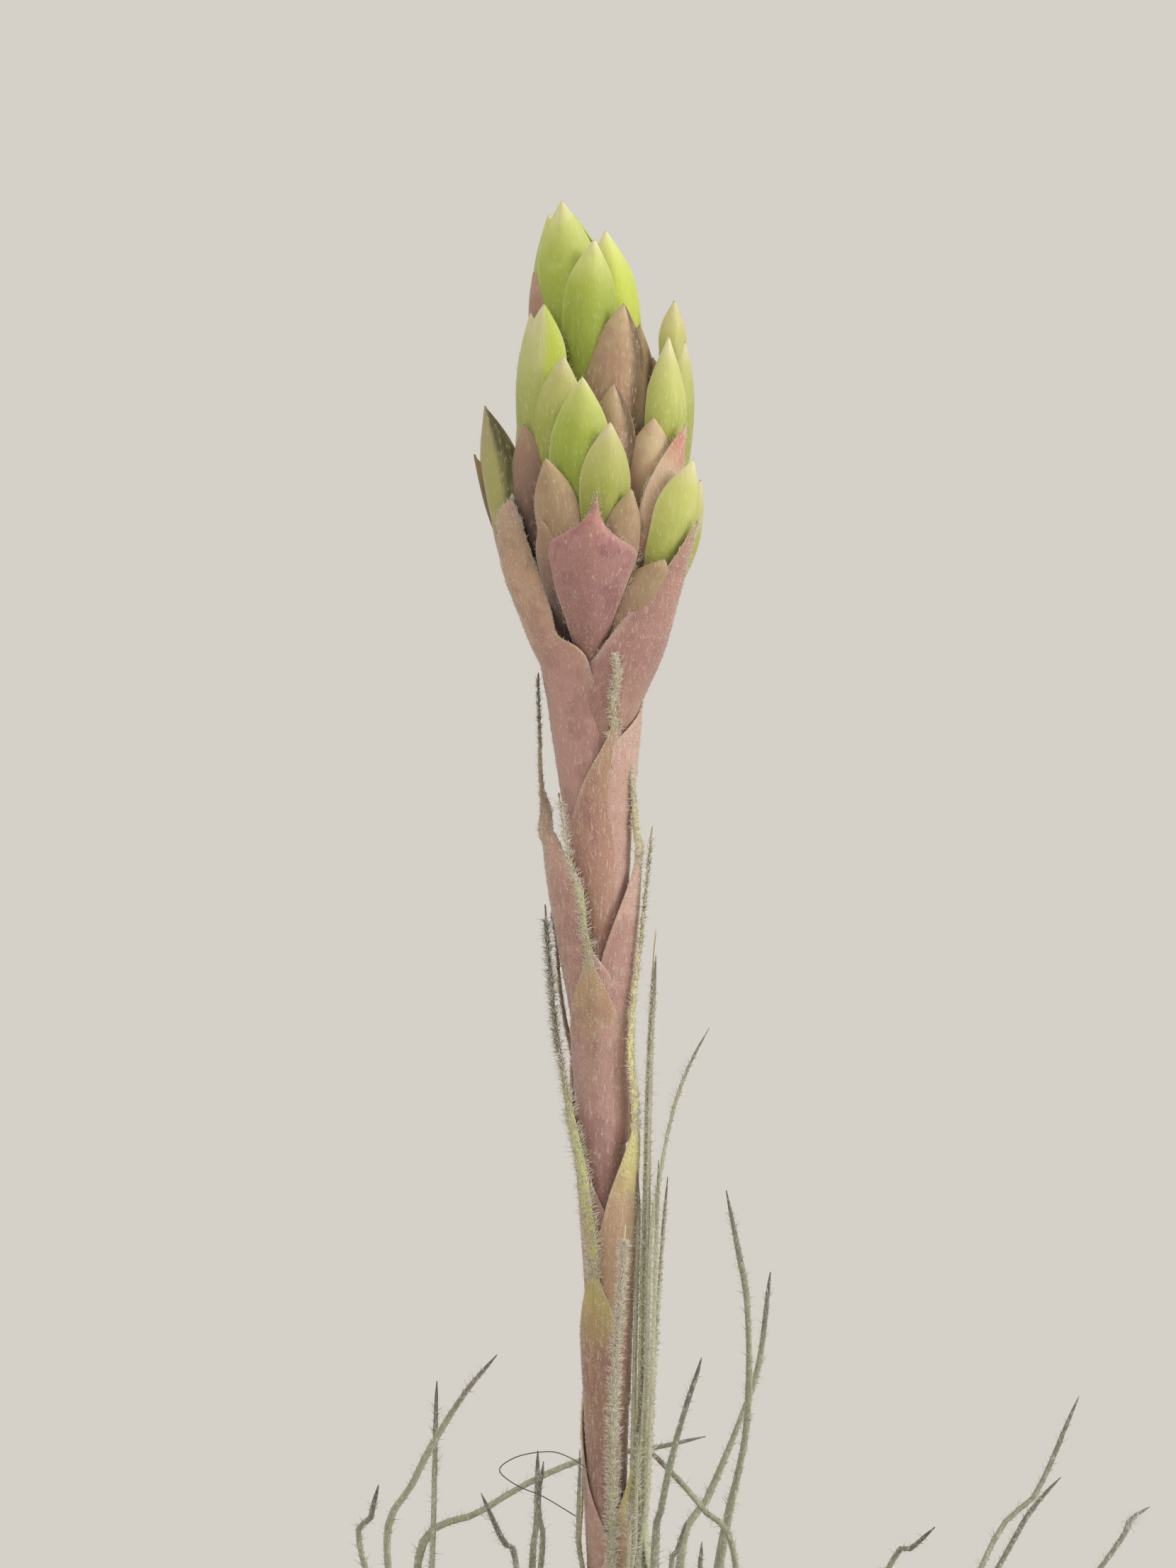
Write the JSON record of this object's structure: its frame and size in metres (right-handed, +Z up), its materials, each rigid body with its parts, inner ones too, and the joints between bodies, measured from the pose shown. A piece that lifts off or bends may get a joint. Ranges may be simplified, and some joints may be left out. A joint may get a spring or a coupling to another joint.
{
  "type": "air plant on a stand",
  "caption": "flowering air plant with fuzzy thread-like leaves and an upright flower spike, held by steel prongs on a post in a round wood base; rests on a flat surface",
  "frame": {"origin": "middle of the flat underside that the stand rests on", "axes": "+Z up along the post and the flower stalk; -Y is the side that the front of the flower head faces; +X to its right"},
  "size_m": [0.1532, 0.1479, 0.2473],
  "materials": {
    "felt": "pressed felt",
    "base_wood": "oiled hardwood, fine grain",
    "steel": "satin steel",
    "stem": "short stem clothed in dry brown leaf bases",
    "leaf": "living leaf, grey-green under dense white fuzz",
    "scape": "living flower stalk, olive brown",
    "bract": "papery bract, dusty pink to beige, fuzzy edges",
    "spike": "fresh floral bracts, yellow-green tips over beige"
  },
  "bodies": {
    "root": {"base_pad": "felt", "base": "base_wood", "post_washer": "steel", "post_nut": "steel", "post": "steel", "post_collar": "steel", "cradle_hub": "steel", "cradle_prong_1": "steel", "cradle_prong_2": "steel", "cradle_prong_3": "steel", "stem": "stem", "leaf_01": "leaf", "leaf_02": "leaf", "leaf_03": "leaf", "leaf_04": "leaf", "leaf_05": "leaf", "leaf_06": "leaf", "leaf_07": "leaf", "leaf_08": "leaf", "leaf_09": "leaf", "leaf_10": "leaf", "leaf_11": "leaf", "leaf_12": "leaf", "leaf_13": "leaf", "leaf_14": "leaf", "leaf_15": "leaf", "leaf_16": "leaf", "leaf_17": "leaf", "leaf_18": "leaf", "leaf_19": "leaf", "leaf_20": "leaf", "leaf_21": "leaf", "scape": "scape", "scape_bract_01": "bract", "scape_bract_02": "bract", "scape_bract_03": "bract", "scape_bract_04": "bract", "scape_bract_05": "bract", "scape_bract_06": "bract", "scape_bract_07": "bract", "scape_bract_08": "bract", "scape_bract_09": "bract", "scape_bract_10": "bract", "scape_bract_11": "bract", "scape_bract_12": "bract", "scape_bract_13": "bract", "spike_top": "spike", "spike_front": "spike", "spike_right_low": "spike", "spike_left": "spike", "spike_right": "spike", "spike_left_low": "spike", "spike_back_left": "spike", "spike_back_right": "spike", "primary_bract_front": "bract", "primary_bract_right_low": "bract", "primary_bract_left": "bract", "primary_bract_right": "bract", "primary_bract_left_low": "bract", "primary_bract_back_left": "bract"}
  },
  "joints": []
}
